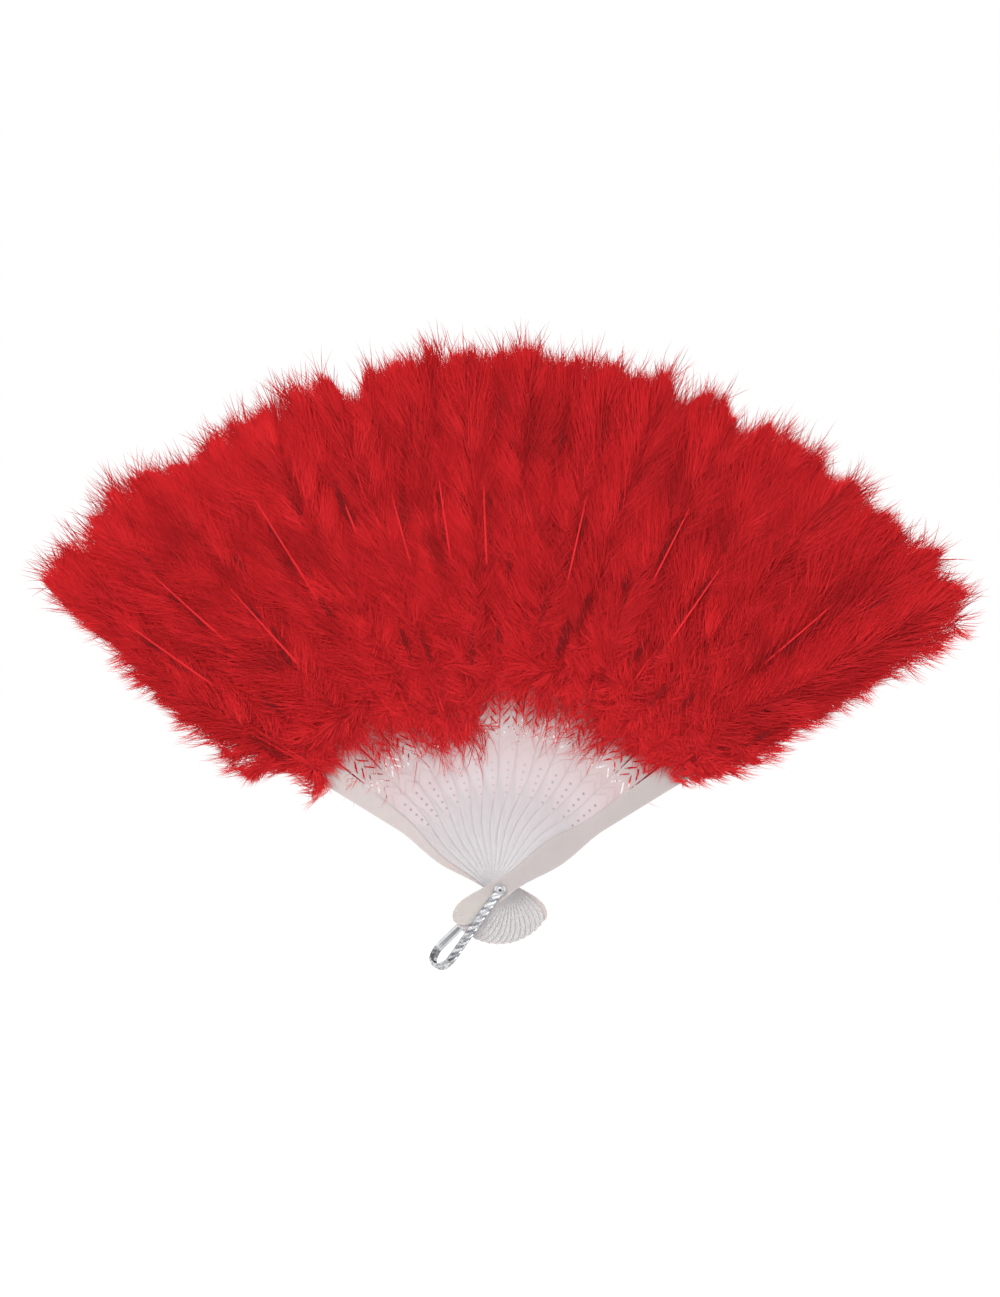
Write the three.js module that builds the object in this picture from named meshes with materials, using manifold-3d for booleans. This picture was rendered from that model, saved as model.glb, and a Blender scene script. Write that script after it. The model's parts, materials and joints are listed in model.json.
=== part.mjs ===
// A folding feather fan, open: pierced plastic sticks on one rivet, a bail, a stay ribbon and plumes.
// Millimetres. X to the right, Y to the back, Z up. The rivet's axis is Y, its rear face is at the origin.

import * as THREE from 'three';
import { mergeVertices } from 'three/addons/utils/BufferGeometryUtils.js';
import Module from 'manifold-3d';

const wasm = await Module();
wasm.setup();

// The spread of the sticks. Stick 0 is the back guard at the left, the last one the front guard.
const INNER_STICKS = 14;
const STEPS = INNER_STICKS + 1;
const STEP_DEG = 7.48;
const SPREAD_DEG = STEPS * STEP_DEG;
const STEP = THREE.MathUtils.degToRad(STEP_DEG);

// Layers along the rivet, from its rear face to its front.
const RIVET_HEAD_T = 1.2;
const BAIL_T = 1.4;
const GUARD_T = 1.6;
const STICK_T = 0.7;
const PART_GAP = 0.3;
const LAYER_GAP = 0.2;
const BAIL_REAR_Y = -(RIVET_HEAD_T + PART_GAP);
const BACK_GUARD_Y = BAIL_REAR_Y - BAIL_T - PART_GAP;
const FIRST_STICK_Y = BACK_GUARD_Y - GUARD_T - LAYER_GAP;
const LAYER = STICK_T + LAYER_GAP;
const FRONT_GUARD_Y = FIRST_STICK_Y - INNER_STICKS * LAYER;
const BAIL_FRONT_Y = FRONT_GUARD_Y - GUARD_T - PART_GAP;
const RIVET_FRONT_Y = BAIL_FRONT_Y - BAIL_T - PART_GAP;

// The outline of a stick: half widths at distances along it from the rivet.
const HEAD_LENGTH = 27.4;
const HEAD_AT = -17.5;
const HEAD_HALF = 6.2;
const NECK_AT = 8;
const NECK_HALF = 4.3;
const BELLY_AT = 32;
const BELLY_HALF = 6.6;
const WAIST_AT = 57;
const WAIST_HALF = 4.2;
const SHOULDER_AT = 120;
const SHOULDER_HALF = 6.7;
const STICK_REACH = 192;
const TIP_HALF = 3.6;
const CURVE_CUTS = 5;
const ROUND_CUTS = 4;

// The pattern of an inner stick: pressed dots, two pressed chevrons, then pierced ones.
const DOTS = 5;
const DOT_AT = 47.3;
const DOT_PITCH = 3.7;
const DOT_R = 0.7;
const DOT_DEEP = 0.45;
const DOT_SIDES = 6;
const CHEVRONS = 6;
const PRESSED_CHEVRONS = 2;
const CHEVRON_DEEP = 0.22;
const CHEVRON_AT = 70.7;
const CHEVRON_PITCH = 4.9;
const CHEVRON_RISE = 4.6;
const CHEVRON_SPREAD = 3.4;
const CHEVRON_START = 0.6;
const SLOT_WIDE = 1.1;

// The rivet and the holes it runs through.
const PIN_R = 1.1;
const PIN_PLAY = 0.25;
const RIVET_HEAD_R = 2;
const RIVET_DOME = 0.9;
const DOME_CUTS = 3;
const PIN_SIDES = 12;

// The bail: two arms that swing on the rivet, a little out of line with each other, and a round bend.
const BAIL_CLEAR = 22.6;
const BAIL_REACH = HEAD_LENGTH + BAIL_CLEAR;
const BAIL_WIDE = 4.2;
const BAIL_EYE_R = 2.9;
const BAIL_FRONT_DEG = 35;
const BAIL_REAR_DEG = 46;
const BAIL_START = 1.9;
const RELIEF_PITCH = 1.7;
const RELIEF_LOW = 0.05;
const RELIEF_HIGH = 0.45;
const RELIEF_SPREAD_RATIO = 0.6;
const BEND_CUTS = 12;

// The plumes, one on each face of each stick, cut to the sector of their stick.
const HEM_AT = 80;
const PLUME_REACH = 264;
const REACH_CHANGE = [3, 4, 5, 2, -1, -1, -3, 0, 0, -3, -5, -7, -2, 1, -1, 4];
const TIP_ROUND = 17;
const PLUME_THICK = 9;
const PLUME_HEM_THICK = 4;
const PLUME_EDGE_RATIO = 0.55;
const PLUME_CUTS = 6;
const EDGE_FLARE = 10.5;
const FLARE_END_RATIO = 0.87;
const TIP_SQUARE_RATIO = 0.98;
const SECTOR_GAP = 0.3;
const FRONT_ROOM = 0.3;

// The stay ribbon behind the sticks, under the back plumes.
const RIBBON_AT = 150;
const RIBBON_WIDE = 6;
const RIBBON_T = 0.35;
const RIBBON_GAP = 0.25;
const RIBBON_HOLD_DEG = 2.7;
const RIBBON_JOG_DEG = 3.5;
const BACK_ROOM = RIBBON_GAP + RIBBON_T + RIBBON_GAP;

// Points closer than this are one point where bodies are joined or cut.
const WELD = 1e-4;

const fan = new THREE.Group();
fan.name = 'feather_fan';

const plastic = (color) => new THREE.MeshStandardMaterial({ color, roughness: 0.35 });
const metal = () => new THREE.MeshStandardMaterial({ color: 0xd8dade, roughness: 0.15, metalness: 1 });
const down = () => new THREE.MeshStandardMaterial({ color: 0xb31f24, roughness: 0.95 });

function add(name, geometry, material) {
  const mesh = new THREE.Mesh(geometry, material);
  mesh.name = name;
  fan.add(mesh);
}

// Where a stick stands: its angle from +X, and the depth of its front and rear faces.
const isGuard = (k) => k === 0 || k === STEPS;
const angleOf = (k) => Math.PI / 2 + THREE.MathUtils.degToRad(SPREAD_DEG / 2) - k * STEP;
const thickOf = (k) => (isGuard(k) ? GUARD_T : STICK_T);

function rearOf(k) {
  if (k === 0) {
    return BACK_GUARD_Y;
  }
  return FIRST_STICK_Y - (k - 1) * LAYER;
}

const frontOf = (k) => rearOf(k) - thickOf(k);

// A point of the fan from a place on a stick: across it, along it, and its depth.
function place(angle, across, along, depth) {
  const x = along * Math.cos(angle) - across * Math.sin(angle);
  const z = along * Math.sin(angle) + across * Math.cos(angle);
  return new THREE.Vector3(x, depth, z);
}

// A closed body through rings of points, each ring a closed loop with as many points as the first.
function loft(rings) {
  const count = rings[0].length;
  const points = rings.flat();
  const faces = [];
  for (let r = 0; r + 1 < rings.length; r += 1) {
    for (let i = 0; i < count; i += 1) {
      const a = r * count + i;
      const b = r * count + ((i + 1) % count);
      faces.push(a, b, b + count, a, b + count, a + count);
    }
  }
  const last = (rings.length - 1) * count;
  for (let i = 1; i + 1 < count; i += 1) {
    faces.push(0, i + 1, i, last, last + i, last + i + 1);
  }
  return facingOut(points, faces);
}

// Turns the faces round if they enclose a negative volume.
function facingOut(points, faces) {
  let volume = 0;
  for (let i = 0; i < faces.length; i += 3) {
    const [a, b, c] = [points[faces[i]], points[faces[i + 1]], points[faces[i + 2]]];
    volume += a.dot(b.clone().cross(c));
  }
  if (volume < 0) {
    faces.reverse();
  }
  const geometry = new THREE.BufferGeometry();
  geometry.setFromPoints(points);
  geometry.setIndex(faces);
  return geometry;
}

// Half the width of a stick at a distance along it.
const eased = (t) => (1 - Math.cos(Math.PI * t)) / 2;
const between = (a, b, t) => a + (b - a) * t;

const LEGS = [
  { from: HEAD_AT, to: NECK_AT, start: HEAD_HALF, end: NECK_HALF, cuts: CURVE_CUTS, ease: eased },
  { from: NECK_AT, to: BELLY_AT, start: NECK_HALF, end: BELLY_HALF, cuts: CURVE_CUTS, ease: eased },
  { from: BELLY_AT, to: WAIST_AT, start: BELLY_HALF, end: WAIST_HALF, cuts: CURVE_CUTS, ease: eased },
  { from: WAIST_AT, to: SHOULDER_AT, start: WAIST_HALF, end: SHOULDER_HALF, cuts: 2, ease: (t) => t },
  { from: SHOULDER_AT, to: STICK_REACH, start: SHOULDER_HALF, end: TIP_HALF, cuts: 2, ease: (t) => t },
];

function stickSide() {
  const side = [];
  for (let i = 1; i < ROUND_CUTS; i += 1) {
    const turn = (Math.PI / 2) * (i / ROUND_CUTS);
    const drop = (HEAD_LENGTH + HEAD_AT) * Math.cos(turn);
    side.push(new THREE.Vector2(HEAD_HALF * Math.sin(turn), HEAD_AT - drop));
  }
  for (const leg of LEGS) {
    for (let i = 0; i < leg.cuts; i += 1) {
      const t = i / leg.cuts;
      const half = between(leg.start, leg.end, leg.ease(t));
      side.push(new THREE.Vector2(half, between(leg.from, leg.to, t)));
    }
  }
  side.push(new THREE.Vector2(TIP_HALF, STICK_REACH));
  return side;
}

function circle(x, y, r, sides) {
  const loop = [];
  for (let i = 0; i < sides; i += 1) {
    const turn = (2 * Math.PI * i) / sides;
    loop.push(new THREE.Vector2(x + r * Math.cos(turn), y + r * Math.sin(turn)));
  }
  return new THREE.Path(loop);
}

// One leg of a chevron: a slot that runs from near the middle of the stick out and down.
function chevronSlot(apex, side) {
  const inner = side * CHEVRON_START;
  const outer = side * (CHEVRON_START + CHEVRON_SPREAD);
  return new THREE.Path([
    new THREE.Vector2(inner, apex),
    new THREE.Vector2(inner, apex - SLOT_WIDE),
    new THREE.Vector2(outer, apex - SLOT_WIDE - CHEVRON_RISE),
    new THREE.Vector2(outer, apex - CHEVRON_RISE),
  ]);
}

function stickShape(pierced) {
  const side = stickSide();
  const other = side.map((p) => new THREE.Vector2(-p.x, p.y)).reverse();
  const foot = new THREE.Vector2(0, -HEAD_LENGTH);
  const shape = new THREE.Shape([foot, ...side, ...other]);
  shape.holes.push(circle(0, 0, PIN_R + PIN_PLAY, PIN_SIDES));
  if (pierced) {
    for (let i = PRESSED_CHEVRONS; i < CHEVRONS; i += 1) {
      const apex = CHEVRON_AT + i * CHEVRON_PITCH;
      shape.holes.push(chevronSlot(apex, 1), chevronSlot(apex, -1));
    }
  }
  return shape;
}

// A body ready to be joined or cut, and the geometry of the outcome.
function solid(geometry) {
  const bare = geometry.clone();
  bare.deleteAttribute('normal');
  bare.deleteAttribute('uv');
  const whole = mergeVertices(bare, WELD);
  const mesh = new wasm.Mesh({
    numProp: 3,
    vertProperties: new Float32Array(whole.attributes.position.array),
    triVerts: new Uint32Array(whole.index.array),
  });
  return new wasm.Manifold(mesh);
}

function shapeOf(manifold) {
  const mesh = manifold.getMesh();
  const geometry = new THREE.BufferGeometry();
  geometry.setAttribute('position', new THREE.BufferAttribute(new Float32Array(mesh.vertProperties), 3));
  geometry.setIndex(new THREE.BufferAttribute(new Uint32Array(mesh.triVerts), 1));
  return geometry;
}

const joined = (parts) => shapeOf(parts.map(solid).reduce((sum, next) => sum.add(next)));
const cut = (body, tools) =>
  shapeOf(tools.map(solid).reduce((left, tool) => left.subtract(tool), solid(body)));

// A pit pressed into the front of a stick, as the body that is taken out.
function pressed(outline, deep) {
  const shape = new THREE.Shape(outline.getPoints());
  const pit = new THREE.ExtrudeGeometry(shape, { depth: 2 * deep, bevelEnabled: false });
  return pit.translate(0, 0, -deep);
}

// The dots and the lower chevrons of an inner stick.
function stickPits() {
  const pits = [];
  for (let i = 0; i < DOTS; i += 1) {
    pits.push(pressed(circle(0, DOT_AT + i * DOT_PITCH, DOT_R, DOT_SIDES), DOT_DEEP));
  }
  for (let i = 0; i < PRESSED_CHEVRONS; i += 1) {
    const apex = CHEVRON_AT + i * CHEVRON_PITCH;
    pits.push(pressed(chevronSlot(apex, 1), CHEVRON_DEEP), pressed(chevronSlot(apex, -1), CHEVRON_DEEP));
  }
  return pits;
}

// Stands a stick up: its flat shape becomes X and Z, and its thickness runs to the back.
function stickBody(k) {
  const flat = new THREE.ExtrudeGeometry(stickShape(!isGuard(k)), { depth: thickOf(k), bevelEnabled: false });
  const body = isGuard(k) ? flat : cut(flat, stickPits());
  const angle = angleOf(k);
  const across = new THREE.Vector3(-Math.sin(angle), 0, Math.cos(angle));
  const along = new THREE.Vector3(Math.cos(angle), 0, Math.sin(angle));
  const back = new THREE.Vector3(0, 1, 0);
  const stand = new THREE.Matrix4().makeBasis(across, along, back);
  stand.setPosition(0, frontOf(k), 0);
  return body.applyMatrix4(stand);
}

const two = (k) => String(k).padStart(2, '0');

function stickName(k) {
  if (k === 0) {
    return 'guard_back';
  }
  return k === STEPS ? 'guard_front' : `stick_${two(k)}`;
}

for (let k = 0; k <= STEPS; k += 1) {
  add(stickName(k), stickBody(k), plastic(isGuard(k) ? 0xd4cbc8 : 0xdad3d6));
}

// Half the width of a plume on one side. It fills its sector, and bulges where no stick is beside it.
function plumeHalf(along, tip, free) {
  const sector = along * Math.tan(STEP / 2) - SECTOR_GAP / 2;
  const share = (along - HEM_AT) / (tip - HEM_AT);
  const flare = free ? EDGE_FLARE * Math.sin(Math.PI * Math.min(1, share / FLARE_END_RATIO)) : 0;
  const past = Math.max(0, (along - (tip - TIP_ROUND)) / TIP_ROUND);
  return (sector + Math.max(0, flare)) * Math.sqrt(1 - Math.min(TIP_SQUARE_RATIO, past * past));
}

// The loop of points round a plume at one distance along the stick.
function plumeRing(k, along, tip, base, way) {
  const share = (along - HEM_AT) / (tip - HEM_AT);
  const thick = PLUME_HEM_THICK + (PLUME_THICK - PLUME_HEM_THICK) * Math.sin(Math.PI * Math.min(1, share));
  const left = plumeHalf(along, tip, k === 0);
  const right = -plumeHalf(along, tip, k === STEPS);
  const section = [
    [right, 0],
    [left, 0],
    [left, PLUME_EDGE_RATIO],
    [left / 2, 1 - (1 - PLUME_EDGE_RATIO) / 3],
    [0, 1],
    [right / 2, 1 - (1 - PLUME_EDGE_RATIO) / 3],
    [right, PLUME_EDGE_RATIO],
  ];
  return section.map(([across, out]) => place(angleOf(k), across, along, base + way * out * thick));
}

function plumeBody(k, base, way) {
  const tip = PLUME_REACH + REACH_CHANGE[k];
  const stops = [];
  for (let i = 0; i <= PLUME_CUTS; i += 1) {
    stops.push(between(HEM_AT, tip - TIP_ROUND, i / PLUME_CUTS));
  }
  stops.push(tip - TIP_ROUND / 2, tip - TIP_ROUND / 6, tip);
  return loft(stops.map((along) => plumeRing(k, along, tip, base, way)));
}

for (let k = 0; k <= STEPS; k += 1) {
  add(`plume_front_${two(k)}`, plumeBody(k, frontOf(k) - FRONT_ROOM, -1), down());
  add(`plume_back_${two(k)}`, plumeBody(k, rearOf(k) + BACK_ROOM, 1), down());
}

// The ribbon lies flat behind each stick and jogs forward to the next just before its sector ends.
function ribbonRing(angle, depth) {
  const near = RIBBON_AT - RIBBON_WIDE / 2;
  const far = RIBBON_AT + RIBBON_WIDE / 2;
  const back = depth + RIBBON_T;
  return [
    place(angle, 0, near, depth),
    place(angle, 0, far, depth),
    place(angle, 0, far, back),
    place(angle, 0, near, back),
  ];
}

function ribbonBody() {
  const hold = THREE.MathUtils.degToRad(RIBBON_HOLD_DEG);
  const jog = THREE.MathUtils.degToRad(RIBBON_JOG_DEG);
  const rings = [];
  for (let k = 0; k <= STEPS; k += 1) {
    const depth = rearOf(k) + RIBBON_GAP;
    rings.push(ribbonRing(angleOf(k) + (k === 0 ? hold : 0), depth));
    rings.push(ribbonRing(angleOf(k) - hold, depth));
    if (k < STEPS) {
      rings.push(ribbonRing(angleOf(k) - jog, rearOf(k + 1) + RIBBON_GAP));
    }
  }
  return loft(rings);
}

add('stay_ribbon', ribbonBody(), new THREE.MeshStandardMaterial({ color: 0xb31f24, roughness: 0.7 }));

// The rivet: a flat rear head, a pin through every hole, and a domed front head.
function rivetBody() {
  const front = RIVET_FRONT_Y - RIVET_HEAD_T;
  const profile = [];
  for (let i = 0; i <= DOME_CUTS; i += 1) {
    const turn = (Math.PI / 2) * (i / DOME_CUTS);
    profile.push(new THREE.Vector2(RIVET_HEAD_R * Math.sin(turn), front - RIVET_DOME * Math.cos(turn)));
  }
  profile.push(
    new THREE.Vector2(RIVET_HEAD_R, RIVET_FRONT_Y),
    new THREE.Vector2(PIN_R, RIVET_FRONT_Y),
    new THREE.Vector2(PIN_R, -RIVET_HEAD_T),
    new THREE.Vector2(RIVET_HEAD_R, -RIVET_HEAD_T),
    new THREE.Vector2(RIVET_HEAD_R, 0),
    new THREE.Vector2(0, 0),
  );
  return new THREE.LatheGeometry(profile, PIN_SIDES);
}

add('rivet', rivetBody(), metal());

// The middle line of the bail: down the front arm, round the bend and up the rear arm.
const BAIL_MID_FRONT = BAIL_FRONT_Y - BAIL_T / 2;
const BAIL_MID_REAR = BAIL_REAR_Y - BAIL_T / 2;
const BEND_R = (BAIL_MID_REAR - BAIL_MID_FRONT) / 2;
const ARM_END = BAIL_REACH - BAIL_T / 2 - BEND_R;
const ARM_CUTS = Math.round((ARM_END - BAIL_START) / RELIEF_PITCH);

// Stops along the middle line: the reach from the rivet, the depth, and the way the outer face looks.
function bailStops() {
  const stops = [];
  for (let i = 0; i <= ARM_CUTS; i += 1) {
    stops.push({ reach: between(BAIL_START, ARM_END, i / ARM_CUTS), depth: BAIL_MID_FRONT, turn: 0 });
  }
  for (let i = 1; i < BEND_CUTS; i += 1) {
    const turn = (Math.PI * i) / BEND_CUTS;
    const depth = between(BAIL_MID_FRONT, BAIL_MID_REAR, (1 - Math.cos(turn)) / 2);
    stops.push({ reach: ARM_END + BEND_R * Math.sin(turn), depth, turn });
  }
  for (let i = ARM_CUTS; i >= 0; i -= 1) {
    stops.push({ reach: between(BAIL_START, ARM_END, i / ARM_CUTS), depth: BAIL_MID_REAR, turn: Math.PI });
  }
  return stops;
}

// The loop of points round the bail at one stop. The outer face rises and falls like an ear of wheat.
function bailRing(stop, index) {
  const share = (1 - Math.cos(stop.turn)) / 2;
  const lean = THREE.MathUtils.degToRad(between(BAIL_FRONT_DEG, BAIL_REAR_DEG, share));
  const angle = -Math.PI / 2 - lean;
  const half = BAIL_WIDE / 2;
  const ridge = index % 2 ? RELIEF_HIGH : RELIEF_LOW;
  const hollow = index % 2 ? RELIEF_LOW : RELIEF_HIGH;
  const section = [
    [-half, -BAIL_T / 2],
    [half, -BAIL_T / 2],
    [half, BAIL_T / 4],
    [half * RELIEF_SPREAD_RATIO, BAIL_T / 4 + ridge],
    [0, BAIL_T / 4 + hollow],
    [-half * RELIEF_SPREAD_RATIO, BAIL_T / 4 + ridge],
    [-half, BAIL_T / 4],
  ];
  return section.map(([across, out]) => {
    const reach = stop.reach + out * Math.sin(stop.turn);
    return place(angle, across, reach, stop.depth - out * Math.cos(stop.turn));
  });
}

function bailEye(depth) {
  const ring = new THREE.Shape(circle(0, 0, BAIL_EYE_R, PIN_SIDES).getPoints());
  ring.holes.push(circle(0, 0, PIN_R + PIN_PLAY, PIN_SIDES));
  const eye = new THREE.ExtrudeGeometry(ring, { depth: BAIL_T, bevelEnabled: false });
  eye.rotateX(Math.PI / 2);
  return eye.translate(0, depth, 0);
}

const strap = loft(bailStops().map(bailRing));
add('bail', joined([strap, bailEye(BAIL_REAR_Y), bailEye(BAIL_FRONT_Y)]), metal());

export default fan;
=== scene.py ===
# %% [markdown]
# # A folding feather fan
# This lesson dresses a packed fan in Blender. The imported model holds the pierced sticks, the rivet,
# the bail and plain plume bodies, each on the body that it moves with. Nothing of it is moved here.
# The sticks and the metal get finishes, and every plume body gives way to real feathers.

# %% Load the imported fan
import json
import math

import bpy
import numpy as np
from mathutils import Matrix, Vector


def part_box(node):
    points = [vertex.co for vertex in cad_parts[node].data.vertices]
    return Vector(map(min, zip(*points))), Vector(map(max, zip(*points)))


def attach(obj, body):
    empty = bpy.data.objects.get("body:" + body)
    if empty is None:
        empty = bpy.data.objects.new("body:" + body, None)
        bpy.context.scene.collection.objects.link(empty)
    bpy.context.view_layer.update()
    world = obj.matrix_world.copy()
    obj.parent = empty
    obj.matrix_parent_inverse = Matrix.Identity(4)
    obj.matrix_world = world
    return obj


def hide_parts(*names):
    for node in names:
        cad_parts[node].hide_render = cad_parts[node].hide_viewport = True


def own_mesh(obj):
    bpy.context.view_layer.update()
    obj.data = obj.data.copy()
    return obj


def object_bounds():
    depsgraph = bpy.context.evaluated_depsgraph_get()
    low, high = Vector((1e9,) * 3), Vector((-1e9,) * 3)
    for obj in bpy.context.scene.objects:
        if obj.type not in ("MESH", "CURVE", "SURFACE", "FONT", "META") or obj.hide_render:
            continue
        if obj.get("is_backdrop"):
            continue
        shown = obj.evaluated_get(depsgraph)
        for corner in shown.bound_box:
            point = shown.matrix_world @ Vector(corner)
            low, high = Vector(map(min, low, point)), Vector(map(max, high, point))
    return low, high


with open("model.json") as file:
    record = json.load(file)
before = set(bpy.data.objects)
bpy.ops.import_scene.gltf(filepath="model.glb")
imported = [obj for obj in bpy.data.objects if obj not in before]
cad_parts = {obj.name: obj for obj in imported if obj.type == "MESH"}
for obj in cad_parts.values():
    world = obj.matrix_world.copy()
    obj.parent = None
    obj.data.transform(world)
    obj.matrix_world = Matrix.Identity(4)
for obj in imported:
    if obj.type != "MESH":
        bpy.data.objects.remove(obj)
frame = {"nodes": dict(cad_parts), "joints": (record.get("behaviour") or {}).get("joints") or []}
nodes = frame["nodes"]
cad_low, cad_high = (list(corner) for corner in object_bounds())
MM = 0.001
print("packed nodes:", len(nodes))
print("box in mm:", [round((high - low) / MM, 1) for low, high in zip(cad_low, cad_high)])

# %% [markdown]
# ## The photograph's frame
# The fan stands upright and faces the camera, so the camera looks along +Y. A long lens far away
# keeps the rim from swelling, as in a catalogue picture. One pixel of the photograph is 0.49 mm on
# the fan, and the rivet is at pixel (500, 889) of a frame of 1000 by 1297.

# %% Camera
PIXEL = 0.49 * MM
PHOTO_WIDE, PHOTO_HIGH = 1000, 1297
RIVET_PIXEL = (500, 889)
MID_DEPTH = -12 * MM
CAMERA_AWAY = 2.2
SENSOR = 36.0

scene = bpy.context.scene
camera_data = bpy.data.cameras.new("photo_camera")
camera = bpy.data.objects.new("photo_camera", camera_data)
scene.collection.objects.link(camera)
camera_data.sensor_width = SENSOR
camera_data.lens = SENSOR * CAMERA_AWAY / (PHOTO_HIGH * PIXEL)
camera.location = (
    (PHOTO_WIDE / 2 - RIVET_PIXEL[0]) * PIXEL,
    MID_DEPTH - CAMERA_AWAY,
    (RIVET_PIXEL[1] - PHOTO_HIGH / 2) * PIXEL,
)
camera.rotation_euler = (math.radians(90), 0, 0)
scene.camera = camera
scene.view_settings.view_transform = "Standard"
print("lens in mm:", round(camera_data.lens, 1))

# %% [markdown]
# ## A white studio
# The picture has a pure white ground and soft light from the front and above. The world is white for
# the camera and for reflections, and dimmer as a lamp, so the ground doesn't over-light the fan. The
# floor lies below the picture's edge: it is white where it is lit, and it keeps the fan's soft shadow.

# %% Helpers for node materials
def new_material(name):
    made = bpy.data.materials.new(name)
    made.use_nodes = True
    made.node_tree.nodes.clear()
    return made, made.node_tree


def add_node(tree, kind, **sockets):
    node = tree.nodes.new(kind)
    for socket, value in sockets.items():
        node.inputs[socket.replace("_", " ")].default_value = value
    return node


def link(node, output, other, socket):
    """Joins two nodes of a tree. A node knows its tree as id_data."""
    node.id_data.links.new(node.outputs[output], other.inputs[socket])


def show(shader, output="ShaderNodeOutputMaterial"):
    """Sends a shader to the output of its tree."""
    link(shader, 0, shader.id_data.nodes.new(output), 0)


def maths(operation, *values):
    """A Math node. Its values are numbers, or a node and one of its outputs, as the first always is."""
    node = values[0][0].id_data.nodes.new("ShaderNodeMath")
    node.operation = operation
    for place, value in enumerate(values):
        if isinstance(value, tuple):
            link(*value, node, place)
        else:
            node.inputs[place].default_value = value
    return node


def seen_directly(tree, in_mirrors=1.0):
    """1 for camera and glass rays, in_mirrors for mirror rays, and 0 for the rays that light the fan."""
    path = tree.nodes.new("ShaderNodeLightPath")
    mirrored = maths("MULTIPLY", (path, "Is Glossy Ray"), in_mirrors)
    first = maths("MAXIMUM", (path, "Is Camera Ray"), (mirrored, 0))
    return maths("MAXIMUM", (first, 0), (path, "Is Transmission Ray"))


def add_piece(name, mesh, finish):
    """Puts a mesh with a finish into the scene."""
    mesh.materials.append(finish)
    piece = bpy.data.objects.new(name, mesh)
    scene.collection.objects.link(piece)
    return piece


def flat_piece(name, wide, high, finish):
    """A flat rectangle round its own middle."""
    x, y = wide / 2, high / 2
    mesh = bpy.data.meshes.new(name)
    mesh.from_pydata([(-x, -y, 0), (x, -y, 0), (x, y, 0), (-x, y, 0)], [], [(0, 1, 2, 3)])
    return add_piece(name, mesh, finish)


# %% World and floor
WORLD_LIGHT = 0.55
FLOOR_AT = -0.24
FLOOR_SIDE = 8.0
FLOOR_GLOW, FLOOR_IN_MIRRORS = 0.7, 0.3

world = bpy.data.worlds.new("white_studio")
scene.world = world
world.use_nodes = True
tree = world.node_tree
tree.nodes.clear()
dim = add_node(tree, "ShaderNodeBackground", Color=(1, 1, 1, 1), Strength=WORLD_LIGHT)
bright = add_node(tree, "ShaderNodeBackground", Color=(1, 1, 1, 1), Strength=1.0)
either = tree.nodes.new("ShaderNodeMixShader")
link(seen_directly(tree), 0, either, 0)
link(dim, 0, either, 1)
link(bright, 0, either, 2)
show(either, "ShaderNodeOutputWorld")

floor_finish, tree = new_material("white_floor")
lit = add_node(tree, "ShaderNodeBsdfDiffuse", Color=(0.8, 0.8, 0.8, 1))
glow = add_node(tree, "ShaderNodeEmission", Color=(1, 1, 1, 1))
share = maths("MULTIPLY", (seen_directly(tree, FLOOR_IN_MIRRORS), 0), FLOOR_GLOW)
link(share, 0, glow, "Strength")
both = tree.nodes.new("ShaderNodeAddShader")
link(lit, 0, both, 0)
link(glow, 0, both, 1)
show(both)
floor = flat_piece("floor", FLOOR_SIDE, FLOOR_SIDE, floor_finish)
floor.location.z = FLOOR_AT
floor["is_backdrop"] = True


# %% Lamps
def soft_lamp(name, place, aim, side, share_of_white):
    """A square lamp that adds this share of white to a white card at aim that faces it."""
    data = bpy.data.lights.new(name, "AREA")
    data.shape = "SQUARE"
    data.size = side
    away = (Vector(aim) - Vector(place)).length
    data.energy = share_of_white * (math.pi * away) ** 2
    lamp = bpy.data.objects.new(name, data)
    lamp.location = place
    lamp.rotation_euler = (Vector(aim) - Vector(place)).to_track_quat("-Z", "Y").to_euler()
    scene.collection.objects.link(lamp)


FAN_MIDDLE = (0, 0, 0.13)
soft_lamp("key_lamp", (-0.8, -2.0, 1.0), FAN_MIDDLE, 1.4, 0.5)
soft_lamp("fill_lamp", (1.2, -1.8, 0.4), FAN_MIDDLE, 1.2, 0.15)
soft_lamp("back_lamp", (0.4, 1.7, 1.0), FAN_MIDDLE, 1.2, 0.4)

# %% [markdown]
# Bright metal shows its surroundings, and in an all-white room it would vanish. A studio hangs dark
# cards beside the lens for it. These cards are seen by reflections alone.

# %% Dark cards for the metal
METAL_AT = Vector((-0.015, -0.01, -0.02))


def dark_card(name, place, wide, high):
    finish, tree = new_material(name)
    black = add_node(tree, "ShaderNodeBsdfDiffuse", Color=(0.02, 0.02, 0.022, 1))
    show(black)
    card = flat_piece(name, wide, high, finish)
    card.location = place
    card.rotation_euler = (METAL_AT - Vector(place)).to_track_quat("-Z", "Y").to_euler()
    card.visible_camera = card.visible_diffuse = card.visible_shadow = False
    card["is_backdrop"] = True


for name, side in (("front", -1), ("rear", 1)):
    dark_card(f"{name}_high_card", (side * 0.62, side * 1.5, 0.72), 1.0, 0.9)
    dark_card(f"{name}_side_card", (side * -0.95, side * 1.2, 0.3), 0.35, 1.0)
    dark_card(f"{name}_low_card", (side * -0.3, side * 0.55, -0.225), 0.5, 0.4)

# %% [markdown]
# ## The plastic sticks
# The sticks are stamped from thin milky plastic that lets a little light through. A satin gloss, a
# touch of scattering under the surface and a faint ripple of the sheet make it. The guards are the
# same plastic, more than twice as thick, so they look a little greyer and warmer.

# %% Plastic finish
# The dots of an inner stick are pressed 0.45 mm into its face, and the sticks lie 0.9 mm apart. So the
# floors of all dots are half-way between two layers, and their depth alone tells them from the faces.
LAYER = 0.9 * MM
FIRST_FACE = -5.7 * MM
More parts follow.
